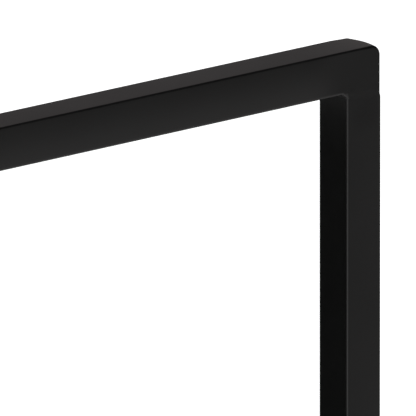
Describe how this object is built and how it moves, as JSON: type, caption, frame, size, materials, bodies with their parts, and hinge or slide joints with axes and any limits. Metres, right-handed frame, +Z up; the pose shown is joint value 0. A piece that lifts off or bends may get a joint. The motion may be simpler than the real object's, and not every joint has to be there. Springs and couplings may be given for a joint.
{
  "type": "fireplace screen",
  "caption": "Free-standing fireplace screen: welded square-tube steel frame in satin black, clear glass clipped behind it, and flat-bar feet on rubber pads.",
  "frame": {"origin": "on the floor, midway between the frame's sides and midway between the feet's front and rear ends, under the frame tube's middle", "axes": "+X to the right along the rails, +Y from the room towards the fire, where the glass and clips are, +Z up"},
  "size_m": [0.965, 0.25, 0.787],
  "materials": {
    "powder_coat": "satin black powder coat",
    "clear_glass": "clear tempered, arrissed edges",
    "gasket_rubber": "matte black silicone strip",
    "pad_rubber": "matte black rubber",
    "screw_steel": "black oxide",
    "plated_steel": "zinc plated"
  },
  "bodies": {
    "root": {"bottom_gasket": "gasket_rubber", "bottom_left_end_plate": "powder_coat", "bottom_rail": "powder_coat", "bottom_right_end_plate": "powder_coat", "clip_screws": "screw_steel", "corner_welds": "powder_coat", "foot_screws": "screw_steel", "glass_panel": "clear_glass", "left_foot": "powder_coat", "left_front_foot_pad": "pad_rubber", "left_gasket": "gasket_rubber", "left_glass_shelf": "powder_coat", "left_lower_clip": "powder_coat", "left_lower_clip_pad": "pad_rubber", "left_rear_foot_pad": "pad_rubber", "left_setting_block": "pad_rubber", "left_shelf_pad": "pad_rubber", "left_stile": "powder_coat", "left_tapped_bar": "plated_steel", "left_upper_clip": "powder_coat", "left_upper_clip_pad": "pad_rubber", "right_foot": "powder_coat", "right_front_foot_pad": "pad_rubber", "right_gasket": "gasket_rubber", "right_glass_shelf": "powder_coat", "right_lower_clip": "powder_coat", "right_lower_clip_pad": "pad_rubber", "right_rear_foot_pad": "pad_rubber", "right_setting_block": "pad_rubber", "right_shelf_pad": "pad_rubber", "right_stile": "powder_coat", "right_tapped_bar": "plated_steel", "right_upper_clip": "powder_coat", "right_upper_clip_pad": "pad_rubber", "rivet_nuts": "plated_steel", "shelf_screws": "screw_steel", "top_gasket": "gasket_rubber", "top_left_clip": "powder_coat", "top_left_clip_pad": "pad_rubber", "top_left_end_plate": "powder_coat", "top_middle_clip": "powder_coat", "top_middle_clip_pad": "pad_rubber", "top_rail": "powder_coat", "top_right_clip": "powder_coat", "top_right_clip_pad": "pad_rubber", "top_right_end_plate": "powder_coat"}
  },
  "joints": []
}
